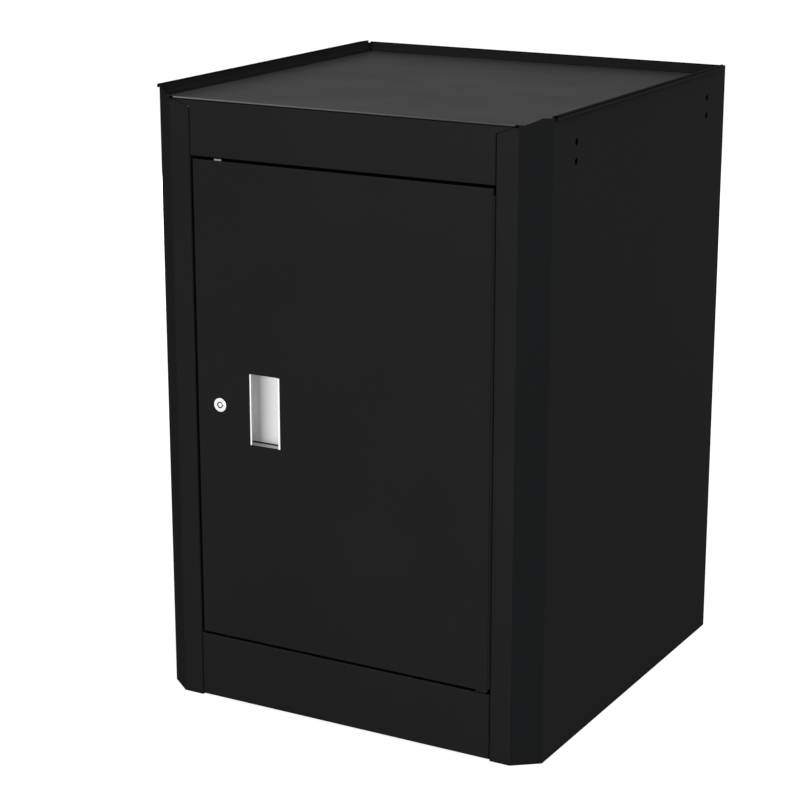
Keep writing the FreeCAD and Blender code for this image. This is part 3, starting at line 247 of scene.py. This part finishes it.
# The lips' crowns are painted this dark grey.
CROWN_DARK = grey(0.003)
# The inner faces of the lips are painted this darker grey as shade.
LIP_INSIDE_SHADE = grey(0.011)
# Greys of the highlight painted along the front ridge's crown.
RIDGE_HIGHLIGHT_BRIGHT = grey(0.14)
RIDGE_HIGHLIGHT_FAINT = grey(0.055)

# How bright the paint is against its plain level where something has changed it.
CLOUD_DARK = 0.97
CLOUD_PALE = 1.03
WORN_EDGE = 4.0
# A paler film on what faces up, partly dust and partly painted light, palest at the front.
DUST_AND_LIGHT_FRONT = 2.0
DUST_AND_LIGHT_BACK = 1.2
# A cool painted shade on the slanted corners and bends.
SLANT_PAINTED_SHADE = (0.68, 0.73, 0.76)

WEAR_SHARE = 0.25
PAINT_SHINIEST = 0.47
PAINT_DULLEST = 0.53


def ridge_highlight(recipe):
    """Return 1 on the crown of the front ridge, where a highlight is painted."""
    crown = recipe.above("Z", RIDGE_CROWN, over=0.6 * MILLIMETRE)
    front = recipe.below("Y", RIDGE_HIGHLIGHT_BACK, over=SOFT)
    return recipe.multiply(crown, front)


def ridge_highlight_colour(recipe):
    """Return the painted highlight's grey, brightest at the left and fading towards the right.
    """
    width = TRAY_HIGH.x - TRAY_LOW.x
    rightward = recipe.above("X", TRAY_LOW.x, over=0.75 * width)
    return recipe.blend(rightward, RIDGE_HIGHLIGHT_BRIGHT, RIDGE_HIGHLIGHT_FAINT)


def ridge_seam(recipe):
    """Return 1 in the scored line below the front ridge, which is painted dark as shade."""
    under_top = recipe.below("Z", RIDGE_SEAM_TOP, over=CLEAR)
    over_low = recipe.above("Z", RIDGE_SEAM_LOW, over=CLEAR)
    front = recipe.below("Y", RIDGE_BACK, over=0.5 * MILLIMETRE)
    return recipe.multiply(recipe.multiply(under_top, over_low), front)


def ridge_ends(recipe):
    """Return 1 in the pockets past both ends of the front ridge, which are painted dark as
    shade.
    """
    distance = recipe.magnitude(recipe.split(recipe.place)["X"])
    past = recipe.rise(distance, start=RIDGE_END, end=RIDGE_END + CLEAR)
    front = recipe.below("Y", RIDGE_POCKET_BACK, over=SOFT)
    return recipe.multiply(past, front)


def lip_band(recipe):
    """Return 1 in the band along the locker's top in which the lips stand."""
    return recipe.above("Z", LIP_BAND, over=1 * MILLIMETRE)


def lip_crown(recipe):
    """Return 1 on the crowns of the side and back lips, which are painted dark."""
    side = recipe.above("Z", SIDE_TOP - LIP_CROWN, over=SOFT)
    high = recipe.above("Z", BACK_HIGH.z - LIP_CROWN, over=SOFT)
    rear = recipe.above("Y", BACK_LIP_FACE, over=SHARP)
    back = recipe.multiply(high, rear)
    ledges = recipe.multiply(recipe.faces("Z", 0.4), lip_band(recipe))
    return recipe.most(recipe.most(side, back), ledges)


def lip_inside(recipe):
    """Return 1 on the inner faces of the side lips, which look across the tray."""
    place = recipe.split(recipe.place)["X"]
    facing = recipe.split(recipe.facing)["X"]
    inward = recipe.fall(recipe.multiply(place, facing), start=-LIP_FAR, end=-LIP_NEAR)
    return recipe.multiply(inward, lip_band(recipe))


def lip_shade_and_dark_crowns(recipe, colour):
    """Return the colour with painted shade on the lips' inner faces, and their crowns painted
    dark.
    """
    # The lips' inner faces are painted darker as shade.
    colour = recipe.blend(lip_inside(recipe), colour, LIP_INSIDE_SHADE)
    # The lips' crowns are painted dark.
    return recipe.blend(lip_crown(recipe), colour, CROWN_DARK)


def ridge_highlight_and_shade(recipe, colour):
    """Return the colour with painted shade on the lips' inner faces, a painted highlight on
    the front ridge, and painted shade in the seam and pockets beside it.
    """
    # The lips' inner faces are painted darker as shade.
    colour = recipe.blend(lip_inside(recipe), colour, LIP_INSIDE_SHADE)
    # A highlight is painted on the ridge's crown.
    colour = recipe.blend(ridge_highlight(recipe), colour, ridge_highlight_colour(recipe))
    # The seam and pockets by the ridge are painted dark as shade.
    seam_shade = recipe.most(ridge_seam(recipe), ridge_ends(recipe))
    return recipe.blend(seam_shade, colour, SEAM_SHADE)


def slanted(recipe):
    """Return 1 on the slanted corners and the bends, which face two ways at once, for a cool
    painted shade.
    """
    facing = recipe.split(recipe.facing)
    # The product is 0.5 on a face at 45 degrees, and 0 on one that is square to an axis.
    both = recipe.magnitude(recipe.multiply(facing["X"], facing["Y"]))
    return recipe.rise(both, start=0.3, end=0.45)


def worn_edges(recipe):
    """Return the share of paint that is worn off, along edges and in scratches."""
    scratches = recipe.noise(9 * MILLIMETRE, detail=6.0)
    scuffs = recipe.rise(scratches, start=0.5, end=0.75)
    wear = recipe.multiply(recipe.edges(0.9 * MILLIMETRE), scuffs)
    return recipe.multiply(wear, WEAR_SHARE)


def dust_and_top_light(recipe):
    """Return the share of a paler film on what faces up, partly fine dust and partly painted
    light from above.
    """
    film = recipe.spread(recipe.noise(60 * MILLIMETRE, detail=5.0), low=0.62, high=0.88)
    return recipe.multiply(recipe.faces("Z", 0.6), film)


def powder_coat(name, level, gloss, marks_and_painted_light=None, reach=14 * MILLIMETRE):
    """Black powder coat: a faint orange peel, cloudy gloss, worn edges, a paler film on what
    faces up that is partly dust and partly painted light, painted shade on the slanted faces
    and in crevices, and what the optional function adds.
    """
    recipe = Recipe(name)
    cloud = recipe.noise(180 * MILLIMETRE, detail=3.0)
    peel = recipe.noise(1.6 * MILLIMETRE, detail=2.0)
    colour = recipe.mottle(cloud, grey(CLOUD_DARK * level), grey(CLOUD_PALE * level))
    colour = recipe.blend(worn_edges(recipe), colour, grey(WORN_EDGE * level))
    # The film on what faces up is palest at the front, as painted light.
    backward = recipe.above("Y", TRAY_LOW.y, over=TRAY_HIGH.y - TRAY_LOW.y)
    dust_and_light = recipe.blend(backward, grey(DUST_AND_LIGHT_FRONT * level), grey(DUST_AND_LIGHT_BACK * level))
    colour = recipe.blend(dust_and_top_light(recipe), colour, dust_and_light)
    # The slanted corners and bends get a cool painted shade.
    painted_slant_shade = [shade * level for shade in SLANT_PAINTED_SHADE]
    colour = recipe.blend(slanted(recipe), colour, (*painted_slant_shade, 1.0))
    if marks_and_painted_light is not None:
        colour = marks_and_painted_light(recipe, colour)
    # Painted shade darkens seams, gaps and inner corners, by their ambient occlusion.
    colour = recipe.blend(recipe.crevices(reach), colour, CREVICE_SHADE)
    return recipe.finish(
        Base_Color=colour,
        Roughness=recipe.spread(cloud, low=PAINT_SHINIEST, high=PAINT_DULLEST),
        Normal=recipe.bump(peel, depth=0.02 * MILLIMETRE, strength=0.35),
        Specular_IOR_Level=gloss,
    )


# ---------------------------------------------------------------- metals and mouldings

ZINC_DARK = grey(0.3, blue=0.03)
ZINC_PALE = grey(0.36, blue=0.03)
ZINC_EDGE = grey(0.2)

NICKEL_POLISHED = grey(0.84)
NICKEL_HAZY = grey(0.81)
NICKEL_REARWARD = grey(0.8)
# A lighter grey of painted light towards the cup's right.
NICKEL_PAINTED_LIGHT = grey(0.67)
# Painted shade on nickel faces that look up.
NICKEL_LEDGE_SHADE = grey(0.45)
# Painted shade in the cup and on the mouth's left edge.
NICKEL_PAINTED_SHADE = grey(0.4)
NICKEL_OUTSIDE = grey(0.28)

CHROME_POLISHED = grey(0.85, blue=0.01)
CHROME_HAZY = grey(0.79, blue=0.01)

# Painted shade in the lock's recesses and along the cup's bottom seam.
METAL_RECESS_SHADE = grey(0.03)


def zinc_plate(name):
    """Bright zinc plate: small spangles, rolled streaks and dull edges."""
    recipe = Recipe(name)
    spangle = recipe.cells(2.4 * MILLIMETRE)
    along = recipe.stretched(1.0, 1.0, 0.08)
    streak = recipe.noise(6 * MILLIMETRE, detail=4.0, place=along)
    colour = recipe.blend(spangle, ZINC_DARK, ZINC_PALE)
    dull = recipe.multiply(recipe.edges(0.5 * MILLIMETRE), 0.5)
    return recipe.finish(
        Base_Color=recipe.blend(dull, colour, ZINC_EDGE),
        Metallic=1.0,
        Roughness=recipe.spread(streak, low=0.3, high=0.46),
        Normal=recipe.bump(streak, depth=0.01 * MILLIMETRE, strength=0.4),
    )


def cup_colour(recipe):
    """Return the cup's colour: painted shade, darkest a little right of its hidden left end
    and lighter towards the right, and bright at that end.
    """
    # Painted shade lightens towards the right.
    shade_fade = recipe.above("X", PULL_SHADE_FADE, over=PULL_SHADE_FADE_WIDTH)
    colour = recipe.blend(shade_fade, NICKEL_PAINTED_SHADE, NICKEL_PAINTED_LIGHT)
    hidden = recipe.below("X", PULL_HIDDEN, over=PULL_HIDDEN_WIDTH)
    return recipe.blend(hidden, colour, NICKEL_POLISHED)


def cup_seam(recipe):
    """Return 1 along the seam at the bottom of the cup's back wall, which is painted dark as
    shade.
    """
    deep = recipe.above("Y", PULL_SEAM_FACE, over=CLEAR)
    low = recipe.below("Z", PULL_SEAM_TOP, over=SHARP)
    return recipe.multiply(deep, low)


def mouth_edge(recipe):
    """Return 1 on the edge at the left of the mouth, which faces right and is painted with
    shade.
    """
    mouth = recipe.below("Y", PULL_MOUTH - 0.1 * MILLIMETRE, over=CLEAR)
    return recipe.multiply(recipe.faces("X", 0.6), mouth)


def satin_nickel(name):
    """Satin nickel, brushed up and down, with painted shade in its cup, on what faces up and
    along its mouth's left edge.
    """
    recipe = Recipe(name)
    along = recipe.stretched(1.0, 1.0, 0.012)
    lines = recipe.noise(0.35 * MILLIMETRE, detail=3.0, place=along)
    cloud = recipe.noise(22 * MILLIMETRE, detail=3.0)
    colour = recipe.mottle(cloud, NICKEL_HAZY, NICKEL_POLISHED)
    inside = recipe.above("Y", PULL_MOUTH, over=CLEAR)
    # Inside the cup the colour is painted with shade.
    colour = recipe.blend(inside, colour, cup_colour(recipe))
    # Faces that look up are painted darker, as shade on what would mirror the white room.
    colour = recipe.blend(recipe.faces("Z", 0.5), colour, NICKEL_LEDGE_SHADE)
    # The mouth's left edge is painted with shade.
    colour = recipe.blend(mouth_edge(recipe), colour, NICKEL_PAINTED_SHADE)
    colour = recipe.blend(recipe.faces("Y", 0.6), colour, NICKEL_REARWARD)
    # The seam at the bottom of the cup's back wall is painted dark as shade.
    colour = recipe.blend(cup_seam(recipe), colour, METAL_RECESS_SHADE)
    outside = recipe.above("Y", PULL_OUTSIDE, over=SHARP)
    return recipe.finish(
        Base_Color=recipe.blend(outside, colour, NICKEL_OUTSIDE),
        Metallic=1.0,
        Roughness=recipe.spread(lines, low=0.44, high=0.5),
        Normal=recipe.bump(lines, depth=0.004 * MILLIMETRE, strength=0.15),
    )


def bright_chrome(name):
    """Bright chrome with key scratches and a hazy bloom, and painted shade in its recesses."""
    recipe = Recipe(name)
    across = recipe.stretched(0.15, 1.0, 1.0)
    scratches = recipe.noise(0.5 * MILLIMETRE, detail=5.0, place=across)
    haze = recipe.noise(5 * MILLIMETRE, detail=3.0)
    colour = recipe.mottle(haze, CHROME_HAZY, CHROME_POLISHED)
    recess = recipe.above("Y", LOCK_RECESS, over=CLEAR)
    return recipe.finish(
        # The lock's grooves and keyway are painted dark as shade.
        Base_Color=recipe.blend(recess, colour, METAL_RECESS_SHADE),
        Metallic=1.0,
        Roughness=recipe.spread(scratches, low=0.1, high=0.24),
        Normal=recipe.bump(scratches, depth=0.004 * MILLIMETRE, strength=0.5),
    )


def moulded(name, low, high, roughness):
    """A moulded rubber or plastic with a fine grain and flow clouds."""
    recipe = Recipe(name)
    cloud = recipe.noise(7 * MILLIMETRE, detail=3.0)
    grain = recipe.noise(0.4 * MILLIMETRE, detail=2.0)
    return recipe.finish(
        Base_Color=recipe.mottle(cloud, low, high),
        Roughness=recipe.spread(cloud, low=roughness - 0.06, high=roughness + 0.06),
        Normal=recipe.bump(grain, depth=0.03 * MILLIMETRE, strength=0.4),
    )


FINISHES = {
    "outer_black_paint": powder_coat("outer_powder_coat", 0.0165, gloss=0.001, marks_and_painted_light=lip_shade_and_dark_crowns),
    "inner_black_paint": powder_coat("inner_powder_coat", 0.018, gloss=0.0075),
    "zinc_plate": zinc_plate("zinc_plate"),
    "satin_nickel": satin_nickel("satin_nickel"),
    "bright_chrome": bright_chrome("bright_chrome"),
    "black_rubber": moulded("black_rubber", grey(0.02), grey(0.03), roughness=0.75),
    "grey_nylon": moulded(
        "grey_nylon", grey(0.5, blue=-0.03), grey(0.6, blue=-0.03), roughness=0.5
    ),
}

# The tray is in the outer paint too, with a highlight painted along its front ridge.
NODE_FINISHES = {
    "top_tray": powder_coat(
        "tray_powder_coat", 0.016, gloss=0.0075, marks_and_painted_light=ridge_highlight_and_shade, reach=4 * MILLIMETRE
    ),
}


def dress_nodes():
    """Give each CAD node its own finish, or else the finish of its material slot."""
    for part in frame["record"]["subparts"]:
        name = part["node"]
        finish = NODE_FINISHES.get(name) or FINISHES[part["material_slot"]]
        materials = nodes[name].data.materials
        materials.clear()
        materials.append(finish)


# ---------------------------------------------------------------- studio

WHITE = grey(1.0)
ROOM_STRENGTH = 0.25
FLOOR_HALF = 30.0

# The floor glows a little less near the object, so that the shadow there shows.
NEAR_GLOW = 0.82
FAR_GLOW = 0.93
NEAR_DISTANCE = 1.0
FAR_DISTANCE = 4.0

# Where the softboxes aim.
MIDDLE = (0.0, 0.0, 0.5)
UPPER = (0.0, 0.0, 0.8)

# The camera as fitted to the picture's straight edges, its lens and sensor in millimetres.
CAMERA_PLACE = (1.55285, -2.91698, 1.35866)
CAMERA_FORWARD = (-0.469575, 0.839279, -0.274061)
CAMERA_LENS = 101.05
CAMERA_SENSOR = 36.0


def seen_or_mirrored(tree):
    """Return 1 for rays from the eye, from a reflection or through glass."""
    path = tree.nodes.new("ShaderNodeLightPath")
    total = path.outputs["Is Camera Ray"]
    for name in ("Is Glossy Ray", "Is Transmission Ray"):
        node = tree.nodes.new("ShaderNodeMath")
        node.operation = "MAXIMUM"
        tree.links.new(total, node.inputs[0])
        tree.links.new(path.outputs[name], node.inputs[1])
        total = node.outputs["Value"]
    return total


def floor_material():
    """Return the floor's finish: pale and matte, lifted to white where it is seen."""
    recipe = Recipe("studio_floor")
    cloud = recipe.noise(0.6, detail=3.0)
    away = recipe.add("ShaderNodeVectorMath", {0: recipe.place}, operation="LENGTH")
    distance = away.outputs["Value"]
    glow = recipe.spread(distance, NEAR_GLOW, FAR_GLOW, NEAR_DISTANCE, FAR_DISTANCE)
    return recipe.finish(
        Base_Color=recipe.mottle(cloud, grey(0.34), grey(0.38)),
        Roughness=0.9,
        Emission_Color=WHITE,
        Emission_Strength=recipe.multiply(seen_or_mirrored(recipe.tree), glow),
        Specular_IOR_Level=0.0,
    )


def make_floor():
    """Lay a pale floor that is white to the eye and keeps a faint shadow."""
    half = FLOOR_HALF
    corners = [(-half, -half, 0), (half, -half, 0), (half, half, 0), (-half, half, 0)]
    mesh = bpy.data.meshes.new("floor")
    mesh.from_pydata(corners, [], [(0, 1, 2, 3)])
    mesh.materials.append(floor_material())
    floor = bpy.data.objects.new("floor", mesh)
    bpy.context.scene.collection.objects.link(floor)


def make_world():
    """Light the room evenly, and show it as white behind the object."""
    world = bpy.data.worlds.new("studio")
    bpy.context.scene.world = world
    world.use_nodes = True
    tree = world.node_tree
    room = tree.nodes["Background"]
    room.inputs["Color"].default_value = WHITE
    room.inputs["Strength"].default_value = ROOM_STRENGTH
    white = tree.nodes.new("ShaderNodeBackground")
    white.inputs["Color"].default_value = WHITE
    mix = tree.nodes.new("ShaderNodeMixShader")
    tree.links.new(seen_or_mirrored(tree), mix.inputs[0])
    tree.links.new(room.outputs[0], mix.inputs[1])
    tree.links.new(white.outputs[0], mix.inputs[2])
    tree.links.new(mix.outputs[0], tree.nodes["World Output"].inputs["Surface"])


def aim(thing, direction):
    """Turn a lamp or the camera towards a direction, with its top up."""
    thing.rotation_euler = direction.to_track_quat("-Z", "Y").to_euler()


def add_softbox(name, place, watts, width, height, target=MIDDLE, tint=(1.0, 1.0, 1.0)):
    """Hang one rectangular studio lamp that faces a target."""
    lamp = bpy.data.lights.new(name, "AREA")
    lamp.color = tint
    lamp.shape = "RECTANGLE"
    lamp.size = width
    lamp.size_y = height
    lamp.energy = watts
    holder = bpy.data.objects.new(name, lamp)
    bpy.context.scene.collection.objects.link(holder)
    holder.location = place
    aim(holder, Vector(target) - Vector(place))


def make_lamps():
    """Hang the softboxes: overhead, in front, at the right and behind at the left."""
    add_softbox("overhead", place=(-0.1, -0.2, 3.4), watts=58, width=2.6, height=2.6)
    add_softbox("front", place=(1.5, -4.1, 1.5), watts=129, width=2.2, height=2.2)
    add_softbox(
        "right",
        place=(3.2, 2.0, 2.4),
        watts=60,
        width=1.8,
        height=1.8,
        target=UPPER,
        tint=(0.88, 1.0, 0.96),
    )
    # This one stays low, because the tray would mirror a higher one to the camera.
    add_softbox("rear", place=(-2.8, 3.4, 0.45), watts=105, width=2.4, height=0.7)


def make_camera():
    """Place the camera where the picture was taken from."""
    lens = bpy.data.cameras.new("camera")
    lens.sensor_width = CAMERA_SENSOR
    lens.lens = CAMERA_LENS
    camera = bpy.data.objects.new("camera", lens)
    bpy.context.scene.collection.objects.link(camera)
    camera.location = CAMERA_PLACE
    aim(camera, Vector(CAMERA_FORWARD))
    bpy.context.scene.camera = camera


dress_nodes()
make_floor()
make_world()
make_lamps()
make_camera()
bpy.context.scene.view_settings.view_transform = "Standard"
